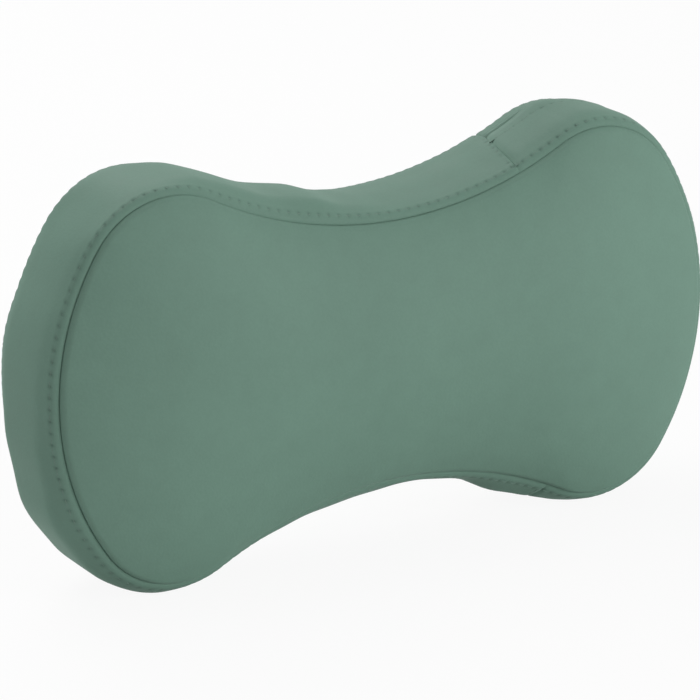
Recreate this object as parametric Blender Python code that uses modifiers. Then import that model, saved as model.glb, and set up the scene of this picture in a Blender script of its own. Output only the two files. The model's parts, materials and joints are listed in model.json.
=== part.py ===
"""Chair headrest cushion: a bow-tie pillow in a zip-off cover, held on by a strap with a side-release buckle.

Frame: X across the chair, Y towards the chair's back, Z up. The origin is the middle of the flat back face.
"""

import math

import bmesh
import bpy
from mathutils import Matrix, Vector

MM = 0.001

# Outline of the cushion at its seams
WIDTH = 360 * MM
LOBE_HEIGHT = 192 * MM
WAIST_HEIGHT = 133 * MM
CORNER_RADIUS = 46 * MM
END_RADIUS = 136 * MM

# Depths along Y
BAND_DEPTH = 60 * MM
FRONT_CROWN = 13 * MM
BACK_CROWN = 5 * MM
BAND_BULGE = 5 * MM
BAND_ROUNDING = 15 * MM

# Cover and filling
LEATHER = 1.2 * MM
LINER = 0.8 * MM
SEAM_GAP = 0.3 * MM
FILL_GAP = 0.4 * MM
FOAM_GAP = 0.8 * MM
RIM_FILL = 3 * MM
SIDE_FILL = 3 * MM

# Zip in the right-hand side band
JOIN_TOP_SHARE = 0.77
JOIN_BOTTOM_SHARE = 0.9
JOIN_GAP = 0.4 * MM
LAP_WIDTH = 45 * MM
LAP_BEND = 6 * MM
LAP_DROP = 3.4 * MM
ZIP_SETBACK = 7 * MM
ZIP_LEVEL = -2.8 * MM
TAPE = 0.6 * MM
TAPE_WIDTH = 13 * MM
TAPE_FLANGE = 4.5 * MM
COIL_WIDTH = 1.4 * MM
COIL_HEIGHT = 2.2 * MM
COIL_SPACE = 1.0 * MM
STOP_LENGTH = 3 * MM
STOP_INSET = 2 * MM
SLIDER_WIDTH = 8.4 * MM
SLIDER_LENGTH = 11 * MM
SLIDER_PLATE = 1.0 * MM
SLIDER_GAP = 0.5 * MM
SLIDER_LIP = 0.8 * MM
SLIDER_START = 1.2 * MM
BRIDGE = 1.2 * MM
BRIDGE_RISE = 1.7 * MM
PULL_LENGTH = 12 * MM
PULL_WIDTH = 5 * MM
PULL = 0.9 * MM
PULL_EYE = 2.6 * MM

# Strap and buckle behind the cushion
STRAP_WIDTH = 38 * MM
STRAP = 1.8 * MM
STRAP_STANDOFF = 20 * MM
STRAP_STRAIGHT = 60 * MM
STRAP_SEAM_INSET = 2 * MM
STRAP_LEFT_RETURN = 28 * MM
STRAP_TAIL = 42 * MM
BUCKLE_MOUTH_X = 8 * MM
BUCKLE_RAIL = 3.4 * MM
BUCKLE_CLEAR = 0.6 * MM
BAR = 2.8 * MM
BAR_HEIGHT = 2.0 * MM
BAR_CLEAR = 0.7 * MM
SLOT = 5.2 * MM
SOCKET_BODY = 34 * MM
SOCKET_THICKNESS = 10 * MM
SOCKET_WALL = 1.8 * MM
SOCKET_SIDE_WALL = 4.4 * MM
SOCKET_FLOOR = 4 * MM
WINDOW_START = 15 * MM
WINDOW_LENGTH = 12 * MM
INSERT_THICKNESS = 7.2 * MM
INSERT_NECK = 6 * MM
PRONG_WIDTH = 8 * MM
PRONG_LENGTH = 25 * MM
ARM_THICKNESS = 5.4 * MM
ARM_WIDTH = 4.4 * MM
ARM_INSET = 1.6 * MM
ARM_LENGTH = 27 * MM
BARB = 3.2 * MM
EDGE_ROUND = 0.9 * MM

# Facets
STATION_MARGIN = 0.5 * MM
END_STEPS = 12
CORNER_STEPS = 8
WAIST_STEPS = 14
ROUNDING_STEPS = 3
CROWN_RINGS = (0.0, 0.10, 0.26, 0.50, 0.85)
CROWN_POWER = 2.5
SPINE_SHARE = 0.52
ZIP_EASE = 2
SLIDER_STEPS = 4
PULL_STEPS = 6
STRAP_STEPS = 9
TURN_STEPS = 8

# Worked-out places
BACK_SEAM = -BACK_CROWN
FRONT_SEAM = BACK_SEAM - BAND_DEPTH
BAND_FRONT = FRONT_SEAM + SEAM_GAP / 2
BAND_REAR = BACK_SEAM - SEAM_GAP / 2
LAP_EDGE = FRONT_SEAM + LAP_WIDTH
ZIP_Y = LAP_EDGE - ZIP_SETBACK
BUCKLE_HALF = STRAP_WIDTH / 2 + BUCKLE_CLEAR + BUCKLE_RAIL
LAYER = BAR / 2 + BAR_CLEAR + STRAP / 2
SOCKET_BAR_X = BUCKLE_MOUTH_X - SOCKET_BODY - SLOT - BAR / 2
INSERT_BAR_X = BUCKLE_MOUTH_X + BUCKLE_CLEAR + INSERT_NECK + SLOT + BAR / 2
ARM_ROOT_X = BUCKLE_MOUTH_X + BUCKLE_CLEAR - SEAM_GAP
CAVITY_HALF = BUCKLE_HALF - SOCKET_SIDE_WALL
CAVITY_HEIGHT = SOCKET_THICKNESS - 2 * SOCKET_WALL


def srgb(red, green, blue):
    """A colour given as 8-bit screen values, in Blender's linear numbers."""
    return tuple((c / 255) ** 2.2 for c in (red, green, blue)) + (1.0,)


FINISHES = {
    "faux_leather": (srgb(112, 140, 127), 0.55, 0.0),
    "liner_cloth": (srgb(225, 225, 220), 0.9, 0.0),
    "foam": (srgb(238, 228, 196), 0.95, 0.0),
    "zip_tape": (srgb(96, 122, 110), 0.85, 0.0),
    "zip_coil": (srgb(88, 112, 101), 0.45, 0.0),
    "zip_metal": (srgb(150, 150, 150), 0.35, 1.0),
    "elastic": (srgb(58, 60, 60), 0.85, 0.0),
    "buckle_plastic": (srgb(30, 31, 32), 0.4, 0.0),
}


def clear_scene():
    for obj in list(bpy.data.objects):
        bpy.data.objects.remove(obj, do_unlink=True)


def new_collection(name):
    collection = bpy.data.collections.new(name)
    bpy.context.scene.collection.children.link(collection)
    return collection


def material(name):
    found = bpy.data.materials.get(name)
    if found:
        return found
    color, roughness, metallic = FINISHES[name]
    made = bpy.data.materials.new(name)
    made.use_nodes = True
    shader = made.node_tree.nodes["Principled BSDF"]
    shader.inputs["Base Color"].default_value = color
    shader.inputs["Roughness"].default_value = roughness
    shader.inputs["Metallic"].default_value = metallic
    return made


def add_object(name, mesh, finish=None):
    """A part when it has a finish, and otherwise a cutter."""
    obj = bpy.data.objects.new(name, mesh)
    if finish:
        PARTS.objects.link(obj)
        mesh.materials.append(material(finish))
    else:
        CUTTERS.objects.link(obj)
        obj.hide_render = True
        obj.display_type = "WIRE"
    return obj


def put_origin(obj, point):
    """Moves an object's origin to a point, with the shape left where it is."""
    obj.data.transform(Matrix.Translation(-Vector(point)))
    obj.location = point
    return obj


def smooth(mesh, degrees=35):
    mesh.shade_smooth()
    mesh.set_sharp_from_angle(angle=math.radians(degrees))


class Arc:
    """One stretch of the outline, walked clockwise as the front shows it."""

    def __init__(self, center, radius, start, end, steps, outward):
        self.center = center
        self.radius = radius
        self.start = start
        self.end = end
        self.steps = steps
        self.outward = outward
        self.length = abs(end - start) * radius

    def station(self, along):
        angle = self.start + (self.end - self.start) * along / self.length
        ray = Vector((math.cos(angle), 0, math.sin(angle)))
        return self.center + ray * self.radius, ray * self.outward


class Outline:
    """Clockwise from the zip's upper join: right end, lower join, left end and back."""

    def __init__(self):
        corner_z = LOBE_HEIGHT / 2 - CORNER_RADIUS
        end_x = WIDTH / 2 - END_RADIUS
        corner_x = end_x + math.sqrt((END_RADIUS - CORNER_RADIUS) ** 2 - corner_z**2)
        half_waist = WAIST_HEIGHT / 2
        reach = corner_x**2 + (half_waist - corner_z) ** 2 - CORNER_RADIUS**2
        waist_radius = reach / (LOBE_HEIGHT - WAIST_HEIGHT)
        waist_z = half_waist + waist_radius
        end_turn = math.atan2(corner_z, corner_x - end_x)
        waist_turn = math.atan2(corner_x, waist_z - corner_z)
        down = -math.pi / 2
        up = math.pi / 2
        top_join = JOIN_TOP_SHARE * waist_turn
        low_join = JOIN_BOTTOM_SHARE * waist_turn
        top = Vector((0, 0, waist_z))
        self.corner_center = Vector((corner_x, 0, corner_z))

        def waist(center, start, end):
            share = abs(end - start) / (2 * waist_turn)
            return Arc(center, waist_radius, start, end, max(1, round(WAIST_STEPS * share)), -1)

        def corner(x_side, z_side, start, end):
            center = Vector((x_side * corner_x, 0, z_side * corner_z))
            return Arc(center, CORNER_RADIUS, start, end, CORNER_STEPS, 1)

        right = Arc(Vector((end_x, 0, 0)), END_RADIUS, end_turn, -end_turn, END_STEPS, 1)
        left = Arc(Vector((-end_x, 0, 0)), END_RADIUS, math.pi + end_turn, math.pi - end_turn, END_STEPS, 1)
        self.zip_arcs = [
            waist(top, down + top_join, down + waist_turn),
            corner(1, 1, up + waist_turn, end_turn),
            right,
            corner(1, -1, -end_turn, down - waist_turn),
            waist(-top, up - waist_turn, up - low_join),
        ]
        self.band_arcs = [
            waist(-top, up - low_join, up + waist_turn),
            corner(-1, -1, down + waist_turn, end_turn - math.pi),
            left,
            corner(-1, 1, math.pi - end_turn, up - waist_turn),
            waist(top, down - waist_turn, down + top_join),
        ]

    def loop(self):
        """Stations all the way round, each with whether it lies in the zip's stretch."""
        found = []
        for arcs, zipped in ((self.zip_arcs, True), (self.band_arcs, False)):
            for arc in arcs:
                for step in range(arc.steps):
                    found.append((*arc.station(arc.length * step / arc.steps), zipped))
        return found

    def run(self, arcs, start, end):
        """Stations from one length to another along a row of arcs. The end may count back from the end."""
        total = sum(arc.length for arc in arcs)
        stop = end if end > 0 else total + end
        marks = {}
        base = 0.0
        for arc in arcs:
            for step in range(arc.steps + 1):
                marks[round(base + arc.length * step / arc.steps, 7)] = None
            base += arc.length
        inner = [mark for mark in marks if start + STATION_MARGIN < mark < stop - STATION_MARGIN]
        return [self.at(arcs, mark) for mark in [start, *inner, stop]]

    def at(self, arcs, along):
        for arc in arcs[:-1]:
            if along <= arc.length:
                return arc.station(along)
            along -= arc.length
        return arcs[-1].station(along)

    def zip_length(self):
        return sum(arc.length for arc in self.zip_arcs)


def place(station, depth, height):
    """A point at a depth along Y and a height off the outline."""
    point, normal = station[:2]
    return point + normal * height + Vector((0, depth, 0))


def skin(bm, rings, closed=True):
    """Quads between rings of points, with the rings' vertices given back."""
    rows = [[bm.verts.new(point) for point in ring] for ring in rings]
    for first, second in zip(rows, rows[1:]):
        count = len(first)
        for i in range(count if closed else count - 1):
            j = (i + 1) % count
            bm.faces.new((first[i], first[j], second[j], second[i]))
    return rows


def finish_mesh(name, bm):
    """Quads are split the same way everywhere, so that nested sheets stay parallel."""
    bmesh.ops.triangulate(bm, faces=bm.faces, quad_method="FIXED", ngon_method="EAR_CLIP")
    bmesh.ops.recalc_face_normals(bm, faces=bm.faces)
    mesh = bpy.data.meshes.new(name)
    bm.to_mesh(mesh)
    bm.free()
    smooth(mesh)
    return mesh


def sweep(name, stations, section, finish):
    """A closed section of (depth, height) corners carried along the outline."""
    bm = bmesh.new()
    rows = skin(bm, [[place(s, depth, height) for depth, height in section] for s in stations])
    bm.faces.new(rows[0])
    bm.faces.new(rows[-1])
    return add_object(name, finish_mesh(name, bm), finish)


def crown_ring(stations, heights, depths, share):
    """The outline at given heights off it, drawn in towards the cushion's spine by a share."""
    ring = []
    for station, height, depth in zip(stations, heights, depths):
        point = place(station, 0, height)
        across = point.x * (1 - share * (1 - SPINE_SHARE))
        ring.append(Vector((across, depth, point.z * (1 - share))))
    return ring


def crown_rise(share):
    return 1 - (1 - share) ** CROWN_POWER


def back_rise(share):
    """The back panel reaches its flat middle at the ring before the last."""
    flat = CROWN_RINGS[-2]
    return crown_rise(min(share, flat)) / crown_rise(flat)


def crown_rings(stations, height, edge, rise, profile):
    count = len(stations)
    heights = height if isinstance(height, list) else [height] * count
    return [crown_ring(stations, heights, [edge + rise * profile(t)] * count, t) for t in CROWN_RINGS]


def shell(name, outer, inner, finish):
    """A cup with one open rim: rings from the rim to the capped middle, outside and inside."""
    bm = bmesh.new()
    outside = skin(bm, outer)
    inside = skin(bm, inner)
    bm.faces.new(outside[-1])
    bm.faces.new(inside[-1])
    rim = list(zip(outside[0], inside[0]))
    for (a, b), (c, d) in zip(rim, rim[1:] + rim[:1]):
        bm.faces.new((a, c, d, b))
    return add_object(name, finish_mesh(name, bm), finish)


def cover_panels(outline):
    stations = outline.loop()
    rim = -LEATHER - SEAM_GAP
    for name, edge, rise, profile in (
        ("front_panel", FRONT_SEAM - SEAM_GAP / 2, -FRONT_CROWN + SEAM_GAP / 2, crown_rise),
        ("back_panel", BACK_SEAM + SEAM_GAP / 2, BACK_CROWN - SEAM_GAP / 2, back_rise),
    ):
        wall = math.copysign(LEATHER, rise)
        outer = crown_rings(stations, 0, edge, rise, profile)
        inner = crown_rings(stations, rim, edge, rise - wall, profile)
        shell(name, outer, inner, "faux_leather")


def band_edge(edge, inward):
    """The rounded edge of the side band, from its seam to where it is flat."""
    corners = []
    for step in range(ROUNDING_STEPS + 1):
        turn = math.pi / 2 * step / ROUNDING_STEPS
        corners.append((edge + inward * BAND_ROUNDING * (1 - math.cos(turn)), BAND_BULGE * math.sin(turn)))
    return corners


def thicken(corners, wall):
    """A closed section from the outer corners of a sheet."""
    return corners + [(depth, height - wall) for depth, height in reversed(corners)]


def side_bands(outline):
    front = band_edge(BAND_FRONT, 1)
    rear = band_edge(BAND_REAR, -1)[::-1]
    band = outline.run(outline.band_arcs, JOIN_GAP / 2, -JOIN_GAP / 2)
    sweep("side_band", band, thicken(front + rear, LEATHER), "faux_leather")
    zip_run = outline.run(outline.zip_arcs, JOIN_GAP / 2, -JOIN_GAP / 2)
    bend = [
        (LAP_EDGE - LAP_BEND, BAND_BULGE),
        (LAP_EDGE - LAP_BEND / 3, BAND_BULGE - LAP_DROP / 2),
        (LAP_EDGE, BAND_BULGE - LAP_DROP),
    ]
    sweep("zip_lap_strip", zip_run, thicken(front + bend, LEATHER), "faux_leather")
    start = ZIP_Y + SLIDER_WIDTH / 2 + SLIDER_GAP
    level = ZIP_LEVEL + TAPE / 2 + SEAM_GAP + LEATHER
    rise = BAND_REAR - start
    rear_strip = [
        (start, level),
        (start + rise / 3, level / 2),
        (start + rise * 2 / 3, LEATHER / 2),
        (BAND_REAR, 0),
    ]
    sweep("zip_rear_strip", zip_run, thicken(rear_strip, LEATHER), "faux_leather")


def zip_chain(outline):
    tape_run = outline.run(outline.zip_arcs, STOP_INSET / 2, -STOP_INSET / 2)
    half_gap = COIL_SPACE / 2
    edge = half_gap + COIL_WIDTH + SEAM_GAP
    flat = SLIDER_WIDTH / 2 + SLIDER_GAP
    top = ZIP_LEVEL + TAPE / 2
    under_lap = BAND_BULGE - LEATHER - SEAM_GAP
    front_tape = [
        (ZIP_Y - TAPE_WIDTH, under_lap),
        (ZIP_Y - TAPE_WIDTH + TAPE_FLANGE, under_lap),
        (ZIP_Y - flat, top),
        (ZIP_Y - edge, top),
    ]
    sweep("zip_tape_front", tape_run, thicken(front_tape, TAPE), "zip_tape")
    rear_tape = [(ZIP_Y + edge, top), (ZIP_Y + TAPE_WIDTH, top)]
    sweep("zip_tape_rear", tape_run, thicken(rear_tape, TAPE), "zip_tape")

    def bead(low, high):
        middle = (low + high) / 2
        half = COIL_HEIGHT / 2
        side = COIL_HEIGHT / 4
        lower = [(low, -side), (middle, -half), (high, -side)]
        upper = [(high, side), (middle, half), (low, side)]
        return [(ZIP_Y + depth, ZIP_LEVEL + height) for depth, height in lower + upper]

    front = bead(-half_gap - COIL_WIDTH, -half_gap)
    rear = bead(half_gap, half_gap + COIL_WIDTH)
    both = bead(-half_gap - COIL_WIDTH, half_gap + COIL_WIDTH)
    stop_end = STOP_INSET + STOP_LENGTH
    coil_start = stop_end + SEAM_GAP
    coil_run = outline.run(outline.zip_arcs, coil_start, -coil_start)
    sweep("zip_coil_front", coil_run, front, "zip_coil")
    sweep("zip_coil_rear", coil_run, rear, "zip_coil")
    top_run = outline.run(outline.zip_arcs, STOP_INSET, stop_end)
    sweep("zip_top_stop_front", top_run, front, "zip_metal")
    sweep("zip_top_stop_rear", top_run, rear, "zip_metal")
    bottom_run = outline.run(outline.zip_arcs, outline.zip_length() - stop_end, -STOP_INSET)
    sweep("zip_bottom_stop", bottom_run, both, "zip_metal")


def corner_stations(outline, start, length, steps):
    """Stations on the upper right corner's arc, past the arc's start."""
    corner = outline.zip_arcs[1]
    return [corner.station(start + length * step / steps) for step in range(steps + 1)]


def zip_slider(outline):
    """Two plates joined by a thin post between the coils, with lips that hold the tapes."""
    half = SLIDER_WIDTH / 2
    post = COIL_SPACE / 2 - SEAM_GAP
    coil = COIL_HEIGHT / 2 + SLIDER_GAP
    lip = TAPE / 2 + SLIDER_GAP
    plate = coil + SLIDER_PLATE
    quarter = [(half, plate), (half, lip), (half - SLIDER_LIP, lip), (half - SLIDER_LIP, coil), (post, coil)]
    right = quarter + [(depth, -height) for depth, height in reversed(quarter)]
    left = [(-depth, height) for depth, height in reversed(right)]
    section = [(ZIP_Y + depth, ZIP_LEVEL + height) for depth, height in right + left]
    stations = corner_stations(outline, SLIDER_START, SLIDER_LENGTH, SLIDER_STEPS)
    slider = sweep("zip_slider", stations, section, "zip_metal")
    middle = SLIDER_START + SLIDER_LENGTH / 2
    deck = ZIP_LEVEL + plate
    sunk = SLIDER_PLATE / 2
    bridge_section = [
        (ZIP_Y - BRIDGE, deck - sunk),
        (ZIP_Y + BRIDGE, deck - sunk),
        (ZIP_Y + BRIDGE, deck + BRIDGE_RISE),
        (ZIP_Y - BRIDGE, deck + BRIDGE_RISE),
    ]
    bridge_run = corner_stations(outline, middle - BRIDGE / 2, BRIDGE, 1)
    bridge = sweep("slider_bridge", bridge_run, bridge_section, None)
    unite(slider, bridge)
    put_origin(slider, outline.corner_center + Vector((0, ZIP_Y, 0)))
    pull_start = middle - PULL_EYE / 2 - BRIDGE
    pull_run = corner_stations(outline, pull_start, PULL_LENGTH, PULL_STEPS)
    low = deck + SLIDER_GAP
    pull_section = [
        (ZIP_Y - PULL_WIDTH / 2, low),
        (ZIP_Y + PULL_WIDTH / 2, low),
        (ZIP_Y + PULL_WIDTH / 2, low + PULL),
        (ZIP_Y - PULL_WIDTH / 2, low + PULL),
    ]
    pull = sweep("zip_pull", pull_run, pull_section, "zip_metal")
    eye_run = corner_stations(outline, middle - PULL_EYE / 2, PULL_EYE, 1)
    eye_half = BRIDGE + SLIDER_GAP
    eye_section = [
        (ZIP_Y - eye_half, low - PULL),
        (ZIP_Y + eye_half, low - PULL),
        (ZIP_Y + eye_half, low + 2 * PULL),
        (ZIP_Y - eye_half, low + 2 * PULL),
    ]
    cut(pull, sweep("pull_eye", eye_run, eye_section, None))
    put_origin(pull, place(outline.zip_arcs[1].station(middle), ZIP_Y, low + PULL / 2))


def filling(outline):
    """The foam in its two-piece liner, drawn in where the zip runs."""
    stations = outline.loop()[::2]
    slider_floor = ZIP_LEVEL - COIL_HEIGHT / 2 - SLIDER_GAP - SLIDER_PLATE - SLIDER_GAP
    middle = (FRONT_SEAM + BACK_SEAM) / 2

    count = len(stations)
    reach = range(-ZIP_EASE, ZIP_EASE + 1)
    drawn = [any(stations[(i + k) % count][2] for k in reach) for i in range(count)]
    shares = [sum(drawn[(i + k) % count] for k in reach) / len(reach) for i in range(count)]

    def heights(full, inset):
        """Heights off the outline: full on the plain side, and under the slider along the zip."""
        return [full + (slider_floor - full) * share - inset for share in shares]

    def side_ring(inset, depth):
        sides = heights(SIDE_FILL, inset)
        return [place(station, depth, height) for station, height in zip(stations, sides)]

    def front_rings(inset):
        edge = FRONT_SEAM + FILL_GAP + inset
        return crown_rings(stations, heights(-RIM_FILL, inset), edge, LEATHER - FRONT_CROWN, crown_rise)

    def back_rings(inset):
        edge = BACK_SEAM - FILL_GAP - inset
        return crown_rings(stations, heights(-RIM_FILL, inset), edge, BACK_CROWN - LEATHER, back_rise)

    near = BAND_ROUNDING
    for name, rings, seam, shoulder in (
        ("liner_front", front_rings, middle - SEAM_GAP / 2, FRONT_SEAM + near),
        ("liner_back", back_rings, middle + SEAM_GAP / 2, BACK_SEAM - near),
    ):
        outer = [side_ring(0, seam), side_ring(0, shoulder), *rings(0)]
        inner = [side_ring(LINER, seam), side_ring(LINER, shoulder), *rings(LINER)]
        shell(name, outer, inner, "liner_cloth")
    inset = LINER + FOAM_GAP
    sides = [side_ring(inset, FRONT_SEAM + near), side_ring(inset, BACK_SEAM - near)]
    bm = bmesh.new()
    rows = skin(bm, [*reversed(front_rings(inset)), *sides, *back_rings(inset)])
    bm.faces.new(rows[0])
    bm.faces.new(rows[-1])
    add_object("foam_core", finish_mesh("foam_core", bm), "foam")


def ribbon(name, path, width, wall, finish):
    """Webbing: a path in the X-Y plane, as wide as given along Z."""
    bm = bmesh.new()
    edges = [[Vector((x, y, side * width / 2)) for x, y in path] for side in (-1, 1)]
    skin(bm, edges, closed=False)
    obj = add_object(name, finish_mesh(name, bm), finish)
    solidify = obj.modifiers.new("webbing", "SOLIDIFY")
    solidify.thickness = wall
    solidify.offset = 0
    solidify.use_even_offset = True
    return obj


def strap_path(side, bar_x, tail):
    """From the side seam over to the straight run, round the bar, and back for the length of the tail."""
    seam_x = WIDTH / 2 - STRAP_SEAM_INSET
    seam_y = BACK_SEAM + STRAP / 2 + 2 * SEAM_GAP
    run_y = STRAP_STANDOFF - LAYER
    path = []
    for step in range(STRAP_STEPS):
        along = step / STRAP_STEPS
        x = seam_x + (STRAP_STRAIGHT - seam_x) * along
        path.append((side * x, seam_y + (run_y - seam_y) * (1 - (1 - along) ** 2)))
    path.append((side * STRAP_STRAIGHT, run_y))
    for step in range(TURN_STEPS + 1):
        turn = -math.pi / 2 - math.pi * step / TURN_STEPS
        path.append((bar_x + side * LAYER * math.cos(turn), STRAP_STANDOFF + LAYER * math.sin(turn)))
    path.append((bar_x + side * tail, STRAP_STANDOFF + LAYER))
    return path


def straps():
    ribbon("strap_left", strap_path(-1, SOCKET_BAR_X, STRAP_LEFT_RETURN), STRAP_WIDTH, STRAP, "elastic")
    ribbon("strap_right", strap_path(1, INSERT_BAR_X, STRAP_TAIL), STRAP_WIDTH, STRAP, "elastic")


def plate(name, corners, thickness, finish):
    """A flat outline of (x, z) corners, extruded along Y about the strap's middle plane."""
    data = bpy.data.curves.new(name, "CURVE")
    data.dimensions = "2D"
    data.fill_mode = "BOTH"
    data.extrude = thickness / 2
    spline = data.splines.new("POLY")
    spline.points.add(len(corners) - 1)
    for point, (x, z) in zip(spline.points, corners):
        point.co = (x, z, 0, 1)
    spline.use_cyclic_u = True
    curve = bpy.data.objects.new(name, data)
    CUTTERS.objects.link(curve)
    curve.matrix_world = Matrix.Translation((0, STRAP_STANDOFF, 0)) @ Matrix.Rotation(math.pi / 2, 4, "X")
    graph = bpy.context.evaluated_depsgraph_get()
    mesh = bpy.data.meshes.new_from_object(curve.evaluated_get(graph))
    mesh.name = name
    mesh.transform(curve.matrix_world)
    bpy.data.objects.remove(curve, do_unlink=True)
    bm = bmesh.new()
    bm.from_mesh(mesh)
    bmesh.ops.remove_doubles(bm, verts=bm.verts, dist=0.01 * MM)
    bmesh.ops.dissolve_limit(bm, angle_limit=math.radians(1), verts=bm.verts, edges=bm.edges)
    bmesh.ops.recalc_face_normals(bm, faces=bm.faces)
    bm.to_mesh(mesh)
    bm.free()
    mesh.materials.clear()
    return add_object(name, mesh, finish)


def block(name, low, high):
    """A cutter box between two corners, measured in Y from the strap's middle plane."""
    bm = bmesh.new()
    bmesh.ops.create_cube(bm, size=1)
    size = [b - a for a, b in zip(low, high)]
    middle = [(a + b) / 2 for a, b in zip(low, high)]
    middle[1] += STRAP_STANDOFF
    bmesh.ops.transform(bm, matrix=Matrix.Diagonal((*size, 1)), verts=bm.verts)
    bmesh.ops.translate(bm, vec=middle, verts=bm.verts)
    mesh = bpy.data.meshes.new(name)
    bm.to_mesh(mesh)
    bm.free()
    return add_object(name, mesh)


def round_edges(obj):
    bevel = obj.modifiers.new("rounded edges", "BEVEL")
    bevel.width = EDGE_ROUND
    bevel.segments = 2
    bevel.limit_method = "ANGLE"
    bevel.angle_limit = math.radians(50)


def boolean(obj, cutter, operation):
    made = obj.modifiers.new(cutter.name, "BOOLEAN")
    made.operation = operation
    made.object = cutter
    made.solver = "EXACT"


def cut(obj, cutter):
    boolean(obj, cutter, "DIFFERENCE")


def unite(obj, other):
    boolean(obj, other, "UNION")


def mirrored(half):
    """Corners of one side, closed by their mirror image across X."""
    return half + [(x, -z) for x, z in reversed(half)]


def buckle_socket():
    mouth = BUCKLE_MOUTH_X
    end = SOCKET_BAR_X - BAR / 2
    waist = BUCKLE_HALF - BUCKLE_RAIL / 3
    half = [
        (mouth, BUCKLE_HALF - EDGE_ROUND),
        (mouth - SOCKET_FLOOR, BUCKLE_HALF),
        (mouth - WINDOW_START, BUCKLE_HALF),
        (mouth - WINDOW_START - WINDOW_LENGTH, BUCKLE_HALF),
        (mouth - SOCKET_BODY, waist),
        (end + 2 * EDGE_ROUND, waist),
        (end, waist - 2 * EDGE_ROUND),
    ]
    socket = plate("buckle_socket", mirrored(half), SOCKET_THICKNESS, "buckle_plastic")
    round_edges(socket)
    past = SOCKET_THICKNESS
    hollow = CAVITY_HEIGHT / 2
    floor = mouth - SOCKET_BODY + SOCKET_FLOOR
    cut(socket, block("socket_cavity", (floor, -hollow, -CAVITY_HALF), (mouth + past, hollow, CAVITY_HALF)))
    window_end = mouth - WINDOW_START
    window_half = ARM_THICKNESS / 2 + SEAM_GAP
    inside = CAVITY_HALF - SOCKET_WALL
    for side, name in ((1, "window_upper"), (-1, "window_lower")):
        z = sorted((side * inside, side * (BUCKLE_HALF + past)))
        low = (window_end - WINDOW_LENGTH, -window_half, z[0])
        cut(socket, block(name, low, (window_end, window_half, z[1])))
    strap_half = STRAP_WIDTH / 2 + BUCKLE_CLEAR
    slot_start = mouth - SOCKET_BODY
    cut(socket, block("socket_slot", (slot_start - SLOT, -past, -strap_half), (slot_start, past, strap_half)))
    for side, name in ((1, "bar_top"), (-1, "bar_back")):
        y = sorted((side * BAR_HEIGHT / 2, side * past))
        cut(socket, block(name, (end - past, y[0], -strap_half), (slot_start - SLOT / 2, y[1], strap_half)))


def buckle_insert():
    face = BUCKLE_MOUTH_X + BUCKLE_CLEAR
    outer_bar = INSERT_BAR_X + BAR / 2 + SLOT
    end = outer_bar + BAR
    half = [
        (end, BUCKLE_HALF - 2 * EDGE_ROUND),
        (end - 2 * EDGE_ROUND, BUCKLE_HALF),
        (face + EDGE_ROUND, BUCKLE_HALF),
        (face, BUCKLE_HALF - EDGE_ROUND),
    ]
    insert = plate("buckle_insert", mirrored(half), INSERT_THICKNESS, "buckle_plastic")
    round_edges(insert)
    past = INSERT_THICKNESS
    prong_half = PRONG_WIDTH / 2
    tongue = ARM_THICKNESS / 2
    root = face + INSERT_NECK / 2
    tip = BUCKLE_MOUTH_X - PRONG_LENGTH
    unite(insert, block("prong", (tip, -tongue, -prong_half), (root, tongue, prong_half)))
    strap_half = STRAP_WIDTH / 2 + BUCKLE_CLEAR
    neck = face + INSERT_NECK
    cut(insert, block("inner_slot", (neck, -past, -strap_half), (neck + SLOT, past, strap_half)))
    cut(insert, block("outer_slot", (outer_bar - SLOT, -past, -strap_half), (outer_bar, past, strap_half)))
    for side, name in ((1, "ladder_top"), (-1, "ladder_back")):
        y = sorted((side * BAR_HEIGHT / 2, side * past))
        cut(insert, block(name, (neck + SLOT / 2, y[0], -strap_half), (end + past, y[1], strap_half)))
    put_origin(insert, Vector((face, STRAP_STANDOFF, 0)))


def insert_arms():
    """The two sprung arms, whose barbs catch behind the windows' edges."""
    root = ARM_ROOT_X
    outer = CAVITY_HALF - ARM_INSET
    inner = outer - ARM_WIDTH
    shoulder = BUCKLE_MOUTH_X - WINDOW_START - SEAM_GAP
    tip = root - ARM_LENGTH
    catch = CAVITY_HALF + BARB
    half = [
        (root, inner),
        (root, outer),
        (shoulder, outer + ARM_INSET - SEAM_GAP),
        (shoulder, catch),
        ((shoulder + tip) / 2, catch + BARB / 3),
        (tip + BARB / 2, catch - BARB),
        (tip, inner + ARM_WIDTH / 2),
        (tip + BARB, inner + ARM_WIDTH / 4),
    ]
    for side, name in ((1, "buckle_arm_upper"), (-1, "buckle_arm_lower")):
        corners = [(x, side * z) for x, z in half]
        arm = plate(name, corners, ARM_THICKNESS, "buckle_plastic")
        put_origin(arm, Vector((root, STRAP_STANDOFF, side * (inner + outer) / 2)))


clear_scene()
PARTS = new_collection("chair_headrest")
CUTTERS = new_collection("cutters")


def main():
    outline = Outline()
    cover_panels(outline)
    side_bands(outline)
    zip_chain(outline)
    zip_slider(outline)
    filling(outline)
    straps()
    buckle_socket()
    buckle_insert()
    insert_arms()


main()
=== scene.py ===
"""Looks of the chair headrest cushion: stuffed faux-leather cover, stitching, zip lap, webbing and buckle."""

import json
import math

import bmesh
import bpy
import numpy as np
from mathutils import Matrix, Vector
from mathutils.kdtree import KDTree


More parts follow.
